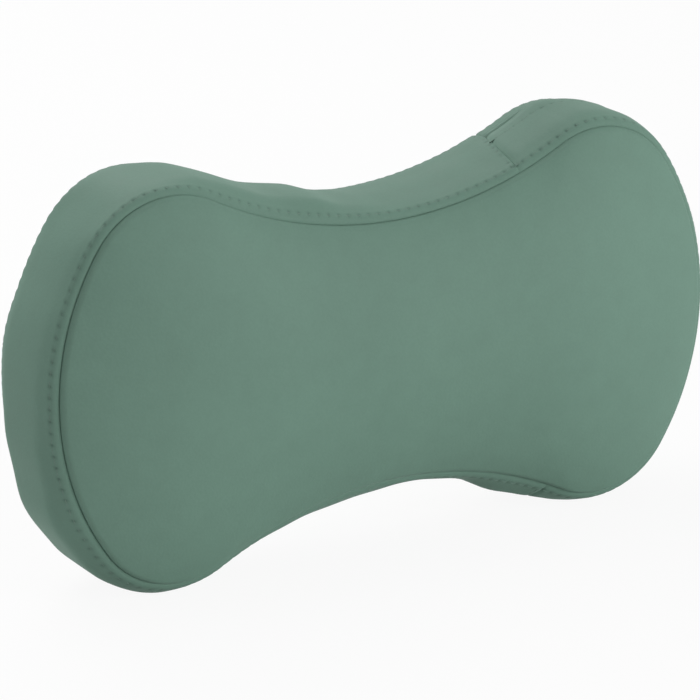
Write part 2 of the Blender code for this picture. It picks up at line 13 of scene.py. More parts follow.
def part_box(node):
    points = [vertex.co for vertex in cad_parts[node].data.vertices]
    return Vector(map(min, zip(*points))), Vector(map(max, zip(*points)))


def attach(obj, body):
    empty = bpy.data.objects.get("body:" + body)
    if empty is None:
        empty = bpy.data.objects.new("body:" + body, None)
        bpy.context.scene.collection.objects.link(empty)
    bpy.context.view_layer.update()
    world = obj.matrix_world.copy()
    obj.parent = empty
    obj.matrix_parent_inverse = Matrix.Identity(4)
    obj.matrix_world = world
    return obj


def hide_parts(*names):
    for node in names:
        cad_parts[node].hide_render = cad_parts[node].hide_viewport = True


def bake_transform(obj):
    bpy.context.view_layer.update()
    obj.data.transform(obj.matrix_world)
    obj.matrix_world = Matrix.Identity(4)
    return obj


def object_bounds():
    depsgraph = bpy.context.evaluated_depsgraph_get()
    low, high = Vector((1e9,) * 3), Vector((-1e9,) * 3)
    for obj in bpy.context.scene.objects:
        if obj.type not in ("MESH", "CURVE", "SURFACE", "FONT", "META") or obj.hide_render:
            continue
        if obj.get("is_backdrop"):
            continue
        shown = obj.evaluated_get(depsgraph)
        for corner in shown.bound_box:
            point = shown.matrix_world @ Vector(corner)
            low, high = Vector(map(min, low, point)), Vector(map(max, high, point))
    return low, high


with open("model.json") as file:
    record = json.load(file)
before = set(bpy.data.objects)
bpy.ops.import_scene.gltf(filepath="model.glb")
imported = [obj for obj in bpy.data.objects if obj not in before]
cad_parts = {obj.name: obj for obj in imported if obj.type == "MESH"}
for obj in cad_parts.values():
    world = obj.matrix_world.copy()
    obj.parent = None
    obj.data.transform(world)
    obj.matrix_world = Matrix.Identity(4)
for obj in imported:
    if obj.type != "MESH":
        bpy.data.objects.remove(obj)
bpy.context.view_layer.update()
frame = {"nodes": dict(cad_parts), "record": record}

MM = 0.001

# Outline at the seams, as the frame has it
WIDTH = 360 * MM
LOBE_HEIGHT = 192 * MM
WAIST_HEIGHT = 133 * MM
CORNER_RADIUS = 46 * MM
END_RADIUS = 136 * MM
JOIN_TOP_SHARE = 0.77
JOIN_BOTTOM_SHARE = 0.9
SPINE_SHARE = 0.52
BACK_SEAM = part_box("side_band")[1].y
FRONT_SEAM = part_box("side_band")[0].y
BAND_DEPTH = BACK_SEAM - FRONT_SEAM
LAP_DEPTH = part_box("zip_lap_strip")[1].y - FRONT_SEAM

# Stuffed shape: what is sewn, and what the stuffing adds
FRONT_CROWN = 16.5 * MM
BACK_CROWN = 5 * MM
BAND_BULGE = 5 * MM
FRONT_SWELL = 1.7 * MM
BAND_SWELL = 0.5 * MM
BAND_ROUNDING = 15 * MM
BACK_FLAT_SHARE = 0.5
CROWN_POWER = 3.2
PANEL_STATIONS = 640
PANEL_ROWS = np.array([0.6, 1.4, 2.4, 3.6, 5.2, 7.5, 10.5, 14]) * MM
PANEL_SHARES = np.array([0.07, 0.15, 0.24, 0.34, 0.44, 0.54, 0.64, 0.73, 0.81, 0.88, 0.94, 0.98, 1.0])
LEATHER = 1.0 * MM
LEATHER_TINT = (0.95, 1.0, 0.98)

# Seams and stitches. The shares weaken a row's relief; STITCH_PROUD is a share of the thread.
NOSE = 2.0 * MM
NOSE_TURNS = np.radians([135, 160, 185, 210, 240, 270])
ALLOWANCE = 2.2 * MM
SEAM_SLACK = -0.95 * MM
TOPSTITCH = 4.2 * MM
REAR_TOPSTITCH = 3.4 * MM
REAR_ROW_SHARE = 0.35
SEAM_ROWS = np.array([0.5, 1.0, 1.5, 2.0, 2.5, 3.1, 4.0, 5.2, 7.0, 9.2, 12, 15.5, 19]) * MM
PITCH = 5.6 * MM
STITCH_COLUMNS = 5
STITCH_STEP = 0.25
BAND_ROWS = 12
BAND_MIDDLE_ROWS = 28
LIP_RISE = 0.3 * MM
LIP_FADE = 4 * MM
ROW_DIP = 0.05 * MM
HOLE_DIP = 0.45 * MM
HOLE_REACH = 0.8 * MM
LAP_ROW = LAP_DEPTH - 11 * MM
STITCH_LENGTH = 4.2 * MM
THREAD = 0.75 * MM
STITCH_PROUD = -0.34

# Zip lap and the rear strip behind its slit
LAP_BEND = 6 * MM
LAP_BEND_POWER = 1.5
LAP_DROP = 1.0 * MM
LAP_STITCH_ROWS = np.array([-3, -1.8, -1.0, -0.5, 0, 0.5, 1.0, 1.8, 3.2]) * MM
LAP_EDGE_ROWS = np.array([6.4, 5.2, 4.2, 3.4, 2.7, 2.0, 1.4]) * MM
LAP_SHIFT_FROM = 2 * MM
EDGE_BEND = 3 * MM
EDGE_DROP = 0.6 * MM
SLIT_LIFT = 0.2 * MM
LAP_MOST_DIP = 0.1 * MM
LAP_END_DIP = 1.6 * MM
LAP_EASE = (-9 * MM, 3 * MM)
LAP_ROW_SHARE = 0.5
LAP_FOLD = 1.0 * MM
FOLD_TURNS = np.radians([30, 60, 90, 120, 150, 180])
LAP_RETURN = 6 * MM
RETURN_SHARES = np.array([0.4, 1.0])
RETURN_RISE = np.array([0.2, 0.6]) * MM
LAP_TUCK_COLUMNS = 7
JOIN_SLANT = 10 * MM
JOIN_SLANT_REACH = 40 * MM
JOIN_RISE = 0.1 * MM
JOIN_REACH = 16 * MM
JOIN_ROW = 2.4 * MM
JOIN_PITCH = 4.6 * MM
JOIN_CLEAR = 2 * MM
JOIN_STEP = 1 * MM
JOIN_TUCK = 0.9 * MM
TUCK_REACH = (-3 * MM, 1 * MM)
JOIN_DIP = 0.8 * MM
JOIN_EDGE = 1.8 * MM
REAR_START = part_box("zip_rear_strip")[0].y - FRONT_SEAM
REAR_LEVEL = 1.3 * MM
REAR_CREST = 2.7 * MM
REAR_RAMP = (1.6 * MM, 6.5 * MM)
REAR_INNER_ROWS = np.array([0, 1.0, 1.8, 2.4, 3.0, 3.6, 4.2, 5.0, 5.8, 6.8]) * MM
REAR_ROWS = 10
SLIT_SHADE = (2.5 * MM, 5 * MM)

# Bumps of the lap over the slider and its run (rise from, to, fall from, to), with the slit open before them
KINK_ALONG = 34 * MM
KINK_RISE = 1.6 * MM
KINK_REACH = 8 * MM
RUN_RISE = 1.4 * MM
RUN_ALONG = (62 * MM, 75 * MM, 87 * MM, 104 * MM)
BUMP_FROM = 0.55
SLIT_OPEN = 0.6 * MM
SLIT_EASE = 2 * MM
SLIT_CLOSE = 12 * MM

# Zip teeth, over the coils' solids
ZIP_DEPTH = (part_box("zip_coil_front")[0].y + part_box("zip_coil_rear")[1].y) / 2 - FRONT_SEAM
COIL_INSET = 0.7 * MM
COIL_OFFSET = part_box("zip_coil_rear")[1].y - FRONT_SEAM - ZIP_DEPTH - COIL_INSET
ZIP_LEVEL = -2.8 * MM
COIL_START = 6 * MM
TOOTH_PITCH = 1.3 * MM
TOOTH = (1.9 * MM, 2.5 * MM, 0.95 * MM)

# Unevenness: bulges of the band as (length along the outline, reach, rise), the corner's draw as (middle in x
# and z, reach, most) between two levels, and gathers as (rate, seed, share)
HARMONICS = (7, 11, 16, 23, 31)
HARMONIC_SUM = 2.2
BAND_SEED = 3
BAND_WANDER = 0.8 * MM
BAND_LUMPS = MM * np.array(
    [
        (970, 40, -1.6),
        (884, 12, 2.4),
        (850, 40, 3.4),
        (822, 16, 2.2),
        (775, 46, -2.4),
        (612, 46, 5.4),
        (548, 26, 1.4),
        (460, 46, 4.0),
        (345, 32, 6.0),
    ]
)
CORNER_DRAW = ((-160 * MM, 70 * MM), 55 * MM, 2.8 * MM)
DRAW_FROM = (20 * MM, 48 * MM)
PUCKER = 0.07 * MM
PUCKER_WAVES = ((3, 5, 1.0), (5, 8, 0.7))
PUCKER_REACH = 12 * MM
PUCKER_RISE = 1.5

# Settling
MERGE = 0.02 * MM
HULL_STATIONS = 140
HULL_SHARES = np.array([1, 0.8, 0.6, 0.42, 0.26, 0.14, 0.06])
HULL_BAND_ROWS = 15
SEAM_POINTS = 500
VOXEL = 5 * MM
SETTLE_FRAMES = 20
CLOTH_QUALITY = 6
CLOTH_MASS = 0.25
PRESSURE = 10.0
STRETCH = 1.5
BENDING = 0.5
MOST_MOVE = 6 * MM
SEAM_HOLD = 5 * MM
SEAM_EASE = 6 * MM
CHAIR_REST = 1.5 * MM
FIELD_REACH = 5 * MM
FIELD_POINTS = 12
FILLING_EASE = np.array([4.5, 1.5, 4.5]) * MM

# Strap
STRAP_WIDTH = 38 * MM
STRAP = 1.8 * MM
STRAP_STANDOFF = 20 * MM
STRAP_STRAIGHT = 60 * MM
STRAP_SEAM_INSET = 2 * MM
STRAP_SEAM_LIFT = 0.6 * MM
STRAP_LEFT_RETURN = 28 * MM
STRAP_TAIL = 42 * MM
STRAP_LAYER = 3.0 * MM
TAIL_GAP = 0.2 * MM
TAIL_DROP = 2 * STRAP_LAYER - STRAP - TAIL_GAP
TAIL_LAYS = (2 * MM, 10 * MM)
DRAWN_POINTS = 40
STRAIGHT_POINTS = 14
BEND_POINTS = 17
TAIL_POINTS = 26
SOCKET_BAR_X = -32.6 * MM
INSERT_BAR_X = 21.2 * MM
TACK_PITCH = 3.0 * MM
TACK_THREAD = 0.8 * MM
TACK_FULL = 0.85
TACK_HALF = 14.5 * MM
TACK_NEAR = 10.5 * MM
TACK_EDGE = 2.5 * MM
TACK_HEM = 9 * MM
RIBS = 24
RIB_COLUMNS = 3
RIB_RISE = 0.16 * MM
STRAP_EDGE_SHARE = 0.02

# Beads for stitches, teeth and tacks
BEAD_SEGMENTS = 8
BEAD_RINGS = 6

# Light: lamps as (name, place, size, power)
WHITE = (1, 1, 1, 1)
WORLD_FILL = 0.23
FLOOR_COLOR = (0.9, 0.9, 0.9, 1)
FLOOR_HALF = 9
FLOOR_GLOW = 0.92
FLOOR_GAP = 0.2 * MM
LAMPS = [
    ("key_front", (1.4, -2.2, 0.5), 1.4, 43),
    ("top_soft", (-0.5, 0.6, 1.9), 1.6, 15),
    ("left_rear", (-2.0, 0.9, 0.7), 1.4, 7),
    ("rear_top", (0.2, 1.6, 1.5), 1.4, 15),
]

# Camera, from a fit of the outline to the photograph
IMAGE = 700
CAMERA_AZIMUTH = math.radians(-30.18)
CAMERA_ELEVATION = math.radians(17.34)
CAMERA_ROLL = math.radians(-0.79)
CAMERA_DISTANCE = 1.753
CAMERA_TARGET = Vector((0, -35 * MM, 0))
FOCAL_PIXELS = 3587
PRINCIPAL = (364.2, 335.9)
SENSOR = 36.0
CLIP_END = 20


class Outline:
    """The seam line by tangent arcs, clockwise as the front shows it, from the zip's upper join."""

    def __init__(self):
        corner_z = LOBE_HEIGHT / 2 - CORNER_RADIUS
        end_x = WIDTH / 2 - END_RADIUS
        corner_x = end_x + math.sqrt((END_RADIUS - CORNER_RADIUS) ** 2 - corner_z**2)
        half_waist = WAIST_HEIGHT / 2
        reach = corner_x**2 + (half_waist - corner_z) ** 2 - CORNER_RADIUS**2
        waist = reach / (LOBE_HEIGHT - WAIST_HEIGHT)
        waist_z = half_waist + waist
        end = math.atan2(corner_z, corner_x - end_x)
        turn = math.atan2(corner_x, waist_z - corner_z)
        up, down, half = math.pi / 2, -math.pi / 2, math.pi
        top = JOIN_TOP_SHARE * turn
        low = JOIN_BOTTOM_SHARE * turn
        self.zip_arcs = 5
        rows = [
            (0, waist_z, waist, down + top, down + turn, -1),
            (corner_x, corner_z, CORNER_RADIUS, up + turn, end, 1),
            (end_x, 0, END_RADIUS, end, -end, 1),
            (corner_x, -corner_z, CORNER_RADIUS, -end, down - turn, 1),
            (0, -waist_z, waist, up - turn, up - low, -1),
            (0, -waist_z, waist, up - low, up + turn, -1),
            (-corner_x, -corner_z, CORNER_RADIUS, down + turn, end - half, 1),
            (-end_x, 0, END_RADIUS, half + end, half - end, 1),
            (-corner_x, corner_z, CORNER_RADIUS, half - end, up - turn, 1),
            (0, waist_z, waist, down - turn, down + top, -1),
        ]
        self.rows = np.array(rows, float)
        lengths = np.abs(self.rows[:, 4] - self.rows[:, 3]) * self.rows[:, 2]
        self.ends = np.cumsum(lengths)
        self.starts = self.ends - lengths
        self.length = self.ends[-1]
        self.zip_length = self.ends[self.zip_arcs - 1]
        self.right_tip = (self.starts[2] + self.ends[2]) / 2

    def at(self, along):
        """Points and outward normals, as arrays of (x, z), at lengths along the outline."""
        along = np.mod(along, self.length)
        index = np.searchsorted(self.ends, along, side="right").clip(max=len(self.ends) - 1)
        x, z, radius, start, end, outward = np.moveaxis(self.rows[index], -1, 0)
        share = (along - self.starts[index]) / (self.ends[index] - self.starts[index])
        angle = start + (end - start) * share
        ray = np.stack([np.cos(angle), np.sin(angle)], -1)
        return np.stack([x, z], -1) + ray * radius[..., None], ray * outward[..., None]


outline = Outline()


def smoothstep(low, high, value):
    share = np.clip((value - low) / (high - low), 0, 1)
    return share * share * (3 - 2 * share)


def wander(along, seed):
    """A slow, closed wave along the outline, about -1 to 1, from a few harmonics."""
    rng = np.random.default_rng(seed)
    turn = 2 * np.pi * along / outline.length
    wave = np.zeros_like(turn)
    for harmonic in HARMONICS:
        wave = wave + rng.uniform(0.3, 1) * np.sin(harmonic * turn + rng.uniform(0, 2 * np.pi))
    return wave / HARMONIC_SUM


def nose_rows():
    """(inward, sunk) of a sheet's edge: its turned-in allowance, then round to its face."""
    rest = NOSE + SEAM_SLACK
    center = np.array([NOSE + rest * math.sqrt(2), NOSE])
    rim = center + NOSE * np.stack([np.cos(NOSE_TURNS), np.sin(NOSE_TURNS)], -1)
    tucked = rim[0] + ALLOWANCE * np.array([1, 1]) / math.sqrt(2)
    return np.vstack([tucked, rim])


NOSE_ROWS = nose_rows()
NOSE_END = NOSE_ROWS[-1, 0]


def front_rise(share):
    return (FRONT_CROWN - FRONT_SWELL) * (1 - (1 - share) ** CROWN_POWER)


def back_rise(share):
    flat = np.minimum(share / BACK_FLAT_SHARE, 1)
    return BACK_CROWN * (1 - (1 - flat) ** CROWN_POWER)


def band_rise(depth):
    """Height of the side band off the outline, by the depth from its front seam."""
    near = np.clip(np.minimum(depth, BAND_DEPTH - depth) / BAND_ROUNDING, 0, 1)
    return (BAND_BULGE - BAND_SWELL) * (1 - (1 - near) ** 2)


def panel_points(along, inward, sunk, seam, rise, facing):
    """Rows of a front or back panel: inward from the seam to the spine, sunk behind its face."""
    seam_at, _ = outline.at(along)
    spine_at = np.stack([seam_at[:, 0] * SPINE_SHARE, np.zeros(len(along))], -1)
    ray = spine_at - seam_at
    reach = np.linalg.norm(ray, axis=1)[:, None]
    inward = np.broadcast_to(inward, (len(along), np.shape(inward)[-1]))
    share = np.clip(inward / reach, 0, 1)
    flat = seam_at[:, None] + ray[:, None] * share[..., None]
    depth = seam + facing * (rise(share) - sunk)
    return np.stack([flat[..., 0], depth, flat[..., 1]], -1)


def side_points(along, depth, height):
    """Points off the outline by a height, at depths from the front seam."""
    point, normal = outline.at(along)
    flat = point + normal * height[..., None]
    depth = np.broadcast_to(FRONT_SEAM + depth, flat.shape[:-1])
    return np.stack([flat[..., 0], depth, flat[..., 1]], -1)


def mesh_from_grid(name, points, closed=False):
    """Quads over a grid of points, stations by rows, closed round the stations if asked."""
    stations, rows = points.shape[:2]
    first = np.arange(stations if closed else stations - 1)[:, None] * rows + np.arange(rows - 1)
    follow = (first + rows) % (stations * rows)
    quads = np.stack([first, follow, follow + 1, first + 1], -1).reshape(-1, 4)
    mesh = bpy.data.meshes.new(name)
    mesh.from_pydata(points.reshape(-1, 3).tolist(), [], quads.tolist())
    return mesh


def link(name, mesh):
    obj = bpy.data.objects.new(name, mesh)
    bpy.context.scene.collection.objects.link(obj)
    return obj


def baked(obj):
    """The object's mesh with its modifiers in it, and none left."""
    bpy.context.view_layer.update()
    graph = bpy.context.evaluated_depsgraph_get()
    mesh = bpy.data.meshes.new_from_object(obj.evaluated_get(graph))
    obj.modifiers.clear()
    obj.data = mesh
    return obj


def merge(mesh):
    bm = bmesh.new()
    bm.from_mesh(mesh)
    bmesh.ops.remove_doubles(bm, verts=bm.verts, dist=MERGE)
    bm.to_mesh(mesh)
    bm.free()


def coordinates(mesh):
    flat = np.empty(len(mesh.vertices) * 3)
    mesh.vertices.foreach_get("co", flat)
    return flat.reshape(-1, 3)


def balanced_stations(count):
    """Lengths along the outline that mirror top to bottom."""
    return outline.right_tip + outline.length * np.arange(count) / count


def hull_points():
    """The closed cushion that the cloth simulation fills: front, side and back."""
    along = balanced_stations(HULL_STATIONS)
    seam_at, _ = outline.at(along)
    reach = np.hypot(seam_at[:, 0] * (1 - SPINE_SHARE), seam_at[:, 1])[:, None]
    front = panel_points(along, reach * HULL_SHARES, 0, FRONT_SEAM, front_rise, -1)
    depth = np.linspace(0, BAND_DEPTH, HULL_BAND_ROWS)
    height = np.broadcast_to(band_rise(depth), (len(along), len(depth)))
    side = side_points(along[:, None], depth, height)
    back = panel_points(along, reach * HULL_SHARES[::-1], 0, BACK_SEAM, back_rise, 1)
    return np.concatenate([front, side, back], 1)


def seam_tree():
    """Points of both seams, to find how near a place is to them."""
    along = np.linspace(0, outline.length, SEAM_POINTS, endpoint=False)
    point, _ = outline.at(along)
    tree = KDTree(2 * len(along))
    for row, seam in enumerate((FRONT_SEAM, BACK_SEAM)):
        for i, (x, z) in enumerate(point):
            tree.insert((x, seam, z), row * len(along) + i)
    tree.balance()
    return tree


def drawn_in(points):
    """Shifts of the rear of the upper left corner, which the photograph shows drawn in."""
    center, reach, most = CORNER_DRAW
    outward = np.array([center[0], 0, center[1]]) / np.hypot(*center)
    away = np.hypot(points[:, 0] - center[0], points[:, 2] - center[1])
    clear_of_strap = smoothstep(*DRAW_FROM, points[:, 2])
    share = smoothstep(-BAND_DEPTH, 0, points[:, 1]) * clear_of_strap * np.exp(-((away / reach) ** 2))
    return -most * share[:, None] * outward


class Settled:
    """How far the stuffing pushes each place of the sewn cover."""

    def __init__(self):
        hull = link("cushion_hull", mesh_from_grid("cushion_hull", hull_points(), closed=True))
        merge(hull.data)
        remesh = hull.modifiers.new("even_cloth", "REMESH")
        remesh.mode = "VOXEL"
        remesh.voxel_size = VOXEL
        baked(hull)
        before = coordinates(hull.data)
        tree = seam_tree()
        near = np.array([tree.find(point)[2] for point in before])
        sewn = 1 - smoothstep(SEAM_HOLD, SEAM_HOLD + SEAM_EASE, near)
        rested = smoothstep(BACK_SEAM + BACK_CROWN - CHAIR_REST, BACK_SEAM + BACK_CROWN, before[:, 1])
        self.move = self.simulate(hull, np.maximum(sewn, rested)) - before
        far = np.linalg.norm(self.move, axis=1)
        self.move *= (np.minimum(far, MOST_MOVE) / np.maximum(far, 1e-9))[:, None]
        self.tree = KDTree(len(before))
        for i, point in enumerate(before):
            self.tree.insert(point, i)
        self.tree.balance()
        bpy.data.objects.remove(hull)

    def simulate(self, hull, held):
        group = hull.vertex_groups.new(name="seams")
        for i, weight in enumerate(held):
            group.add([i], float(weight), "REPLACE")
        cloth = hull.modifiers.new("stuffing", "CLOTH")
        settings = cloth.settings
        settings.quality = CLOTH_QUALITY
        settings.mass = CLOTH_MASS
        settings.tension_stiffness = STRETCH
        settings.compression_stiffness = STRETCH
        settings.shear_stiffness = STRETCH / 2
        settings.bending_stiffness = BENDING
        settings.use_pressure = True
        settings.uniform_pressure_force = PRESSURE
        settings.vertex_group_mass = group.name
        settings.effector_weights.gravity = 0
        cloth.point_cache.frame_end = SETTLE_FRAMES
        scene = bpy.context.scene
        for step in range(1, SETTLE_FRAMES + 1):
            scene.frame_set(step)
        baked(hull)
        scene.frame_set(1)
        return coordinates(hull.data)

    def push(self, points):
        """The points moved with the cloth near them."""
        flat = points.reshape(-1, 3)
        found = [self.tree.find_n(point, FIELD_POINTS) for point in flat]
        index = np.array([[hit[1] for hit in hits] for hits in found])
        far = np.array([[hit[2] for hit in hits] for hits in found])
        weight = np.exp(-(far**2 - far[:, :1] ** 2) / (2 * FIELD_REACH**2))
        weight /= weight.sum(1, keepdims=True)
        moved = flat + (self.move[index] * weight[..., None]).sum(1) + drawn_in(flat)
        return moved.reshape(points.shape)


settled = Settled()


def stitch_relief(along, off, pitch):
    """Height and painted shade of a sewn row: a dip along it and a hole at each stitch's end, with shade
    painted into each hole.
    """
    hole_at = (np.mod(along / pitch + 0.5, 1) - 0.5) * pitch
    hole = np.exp(-(hole_at**2 + off**2) / HOLE_REACH**2)
    row = np.exp(-((off / HOLE_REACH) ** 2))
    return -ROW_DIP * row - HOLE_DIP * hole, hole


ZIP_STITCHES = round(outline.zip_length / PITCH)
BAND_STITCHES = round((outline.length - outline.zip_length) / PITCH)
ZIP_PITCH = outline.zip_length / ZIP_STITCHES
BAND_PITCH = (outline.length - outline.zip_length) / BAND_STITCHES


def edge_relief(along, inward, row_at=TOPSTITCH, row_share=1.0):
    """The raised lip over the seam allowance, and the topstitching behind it."""
    lip = smoothstep(0, NOSE_END, inward) * (1 - smoothstep(row_at, row_at + LIP_FADE, inward))
    banded = along >= outline.zip_length
    since = np.where(banded, along - outline.zip_length, along)
    height, shade = stitch_relief(since, inward - row_at, np.where(banded, BAND_PITCH, ZIP_PITCH))
    return LIP_RISE * lip + row_share * height, shade


def lumps(along, depth):
    """Soft unevenness of the stuffed band: a slow wave all round, and the bulges the photograph shows."""
    middle = smoothstep(0, BAND_ROUNDING, np.minimum(depth, BAND_DEPTH - depth))
    height = BAND_WANDER * wander(along, BAND_SEED)
    for center, reach, rise in BAND_LUMPS:
        away = np.mod(along - center + outline.length / 2, outline.length) - outline.length / 2
        height = height + rise * np.exp(-((away / reach) ** 2))
    return height * middle


def join_line(depth):
    """How far past the upper join the band's slanted end reaches, by depth."""
    return JOIN_SLANT * (np.clip(depth / LAP_DEPTH, 0, 1) - 0.5)


def nose_depths():
    return NOSE_ROWS[:, 0], -NOSE_ROWS[:, 1]


def band_rows(width):
    """Depths and sunk heights over a band with both edges turned in."""
    depth, sunk = nose_depths()
    near = NOSE_END + SEAM_ROWS[:BAND_ROWS]
    half = np.concatenate([depth, near])
    low = np.concatenate([sunk, np.zeros(len(near))])
    middle = np.linspace(half[-1], width - half[-1], BAND_MIDDLE_ROWS)[1:-1]
    depths = np.concatenate([half, middle, width - half[::-1]])
    return depths, np.concatenate([low, np.zeros(len(middle)), low[::-1]])


def band_height(along, depth):
    front, front_shade = edge_relief(along, depth)
    rear, rear_shade = edge_relief(along, BAND_DEPTH - depth, REAR_TOPSTITCH, REAR_ROW_SHARE)
    return band_rise(depth) + front + rear + lumps(along, depth), np.maximum(front_shade, rear_shade)


def join_relief(past, depth):
    """The band's end over the zip's end: raised, with a sewn row across. past is the length to the end."""
    raised = JOIN_RISE * (1 - smoothstep(0, JOIN_REACH, past))
    height, shade = stitch_relief(depth, past - JOIN_ROW, JOIN_PITCH)
    return raised + height - JOIN_DIP * (1 - smoothstep(0, JOIN_EDGE, past)), shade


def side_band():
    start, stop = outline.zip_length, outline.length
    along = np.linspace(start, stop, BAND_STITCHES * STITCH_COLUMNS + 1)
    depth, sunk = band_rows(BAND_DEPTH)
    slanted = smoothstep(stop - JOIN_SLANT_REACH, stop, along)[:, None]
    along = along[:, None] + join_line(depth) * slanted
    depth = np.broadcast_to(depth, along.shape)
    height, shade = band_height(along, depth)
    for past in (stop + join_line(depth) - along, along - start):
        extra, join_shade = join_relief(past, depth)
        height, shade = height + extra, np.maximum(shade, join_shade)
    return side_points(along, depth, height + sunk), shade


def lap_edge_shift(along):
    """The lap's edge draws back beside its upper join, as far as the slider's bump."""
    return -SLIT_OPEN * (1 - smoothstep(KINK_ALONG - SLIT_EASE, KINK_ALONG + SLIT_EASE, along))


def lap_height(along, depth):
    """Height and shade of the lap: round at its seam, bent down at its edge, raised over the slider."""
    front, front_shade = edge_relief(along, depth)
    row, row_shade = stitch_relief(along, depth - LAP_ROW, ZIP_PITCH)
    bend = np.clip((depth - (LAP_DEPTH - LAP_BEND)) / LAP_BEND, 0, 1)
    rounded = band_rise(np.minimum(depth, BAND_DEPTH / 2))
    over_slider = KINK_RISE * np.exp(-(((along - KINK_ALONG) / KINK_REACH) ** 2))
    over_run = RUN_RISE * smoothstep(*RUN_ALONG[:2], along) * (1 - smoothstep(*RUN_ALONG[2:], along))
    bump = np.maximum(over_slider, over_run) * smoothstep(BUMP_FROM, 1, depth / LAP_DEPTH)
    edge = np.clip((depth - (LAP_DEPTH - EDGE_BEND)) / EDGE_BEND, 0, 1)
    closed = smoothstep(KINK_ALONG, KINK_ALONG + SLIT_CLOSE, along)
    drop = LAP_DROP * bend**LAP_BEND_POWER + (EDGE_DROP * closed - SLIT_LIFT * (1 - closed)) * edge
    past_join = smoothstep(*LAP_EASE, np.minimum(along, outline.zip_length - along))
    most_dip = LAP_MOST_DIP + (LAP_END_DIP - LAP_MOST_DIP) * (1 - past_join)
    uneven = np.maximum(lumps(along, np.minimum(depth, BAND_DEPTH / 2)), -most_dip)
    height = rounded + front + LAP_ROW_SHARE * row + bump - drop + uneven
    return height, np.maximum(front_shade, LAP_ROW_SHARE * row_shade)


def tucked(along, depth):
    """How far the zip strips dip where the band's ends lie over them."""
    past = np.maximum(join_line(depth) - along, along - outline.zip_length)
    return -JOIN_TUCK * smoothstep(*TUCK_REACH, past)


def zip_stations():
    tuck = LAP_TUCK_COLUMNS
    return np.arange(-tuck, ZIP_STITCHES * STITCH_COLUMNS + tuck + 1) * ZIP_PITCH / STITCH_COLUMNS


def zip_lap():
    along = zip_stations()[:, None]
    nose, sunk = nose_depths()
    near = NOSE_END + SEAM_ROWS
    around = LAP_ROW + LAP_STITCH_ROWS
    depth = np.concatenate([nose, near[near < around[0]], around, LAP_DEPTH - LAP_EDGE_ROWS])
    ramp = smoothstep(LAP_ROW + LAP_SHIFT_FROM, LAP_DEPTH - LAP_FOLD, depth)
    shifted = depth + ramp * lap_edge_shift(along)
    height, shade = lap_height(along, np.broadcast_to(depth, shifted.shape))
    height = height + np.concatenate([sunk, np.zeros(len(depth) - len(sunk))])
    edge_depth, edge_height = shifted[:, -1:], height[:, -1:]
    fold_depth = edge_depth + LAP_FOLD * np.sin(FOLD_TURNS)
    fold_height = edge_height - LAP_FOLD * (1 - np.cos(FOLD_TURNS))
    under_depth = edge_depth - LAP_RETURN * RETURN_SHARES
    under_height = edge_height - 2 * LAP_FOLD + RETURN_RISE
    depth = np.concatenate([shifted, fold_depth, under_depth], 1)
    height = np.concatenate([height, fold_height, under_height], 1) + tucked(along, depth)
    unseen = np.zeros((len(along), depth.shape[1] - shade.shape[1]))
    shade = np.concatenate([shade, unseen], 1)
    return side_points(np.broadcast_to(along, depth.shape), depth, height), shade


def rear_height(along, depth):
    """The rear strip: low under the lap's edge, up behind it, and round to the rear seam."""
    since = depth - REAR_START
    near = np.clip((BAND_DEPTH - depth) / BAND_ROUNDING, 0, 1)
    rear, shade = edge_relief(along, BAND_DEPTH - depth, REAR_TOPSTITCH, REAR_ROW_SHARE)
    level = REAR_LEVEL + (REAR_CREST - REAR_LEVEL) * smoothstep(*REAR_RAMP, since)
    # Painted shadow in the slit: the rear strip darker just behind the lap's edge
    slit = 1 - smoothstep(*SLIT_SHADE, since)
    return level * (1 - (1 - near) ** 2) + rear, np.maximum(shade, slit)


def zip_rear():
    along = zip_stations()[:, None]
    nose, sunk = nose_depths()
    near = NOSE_END + SEAM_ROWS[:REAR_ROWS]
    inner = REAR_START + REAR_INNER_ROWS
    depth = np.concatenate([inner, BAND_DEPTH - near[::-1], BAND_DEPTH - nose[::-1]])
    low = np.concatenate([np.zeros(len(inner) + len(near)), sunk[::-1]])
    wide = np.broadcast_to(depth, (len(along), len(depth)))
    height, shade = rear_height(along, wide)
    height = height + low + tucked(along, wide)
    return side_points(np.broadcast_to(along, wide.shape), wide, height), shade


def panel_rows(along):
    """Inward distances from the spine out to the seam and round its turned-in edge, and how far sunk."""
    seam_at, _ = outline.at(along)
    reach = np.hypot(seam_at[:, 0] * (1 - SPINE_SHARE), seam_at[:, 1])[:, None]
    near = NOSE_END + PANEL_ROWS
    far = near[-1] + (reach - near[-1]) * PANEL_SHARES
    rim = np.concatenate([NOSE_ROWS[:, 0], near])
    inward = np.concatenate([np.broadcast_to(rim, (len(along), len(rim))), far], 1)[:, ::-1]
    sunk = np.concatenate([NOSE_ROWS[:, 1], np.zeros(len(near) + len(PANEL_SHARES))])[::-1]
    return inward, sunk


def pucker(along, inward):
    """Fine gathers that the sewing draws into a panel beside its seam."""
    fade = np.exp(-((inward / PUCKER_REACH) ** 2)) * smoothstep(0, NOSE_END * PUCKER_RISE, inward)
    return PUCKER * fade * sum(share * wander(along * rate, seed) for rate, seed, share in PUCKER_WAVES)


def panel(seam, rise, facing):
    """The front, facing -1, or the back, facing 1. Its rows run so that its faces look outwards."""
    along = balanced_stations(PANEL_STATIONS)
    inward, sunk = panel_rows(along)
    if facing > 0:
        inward, sunk = inward[:, ::-1], sunk[::-1]
    gathers = pucker(along[:, None], inward)
    return panel_points(along, inward, sunk + gathers, seam, rise, facing), np.zeros(inward.shape)


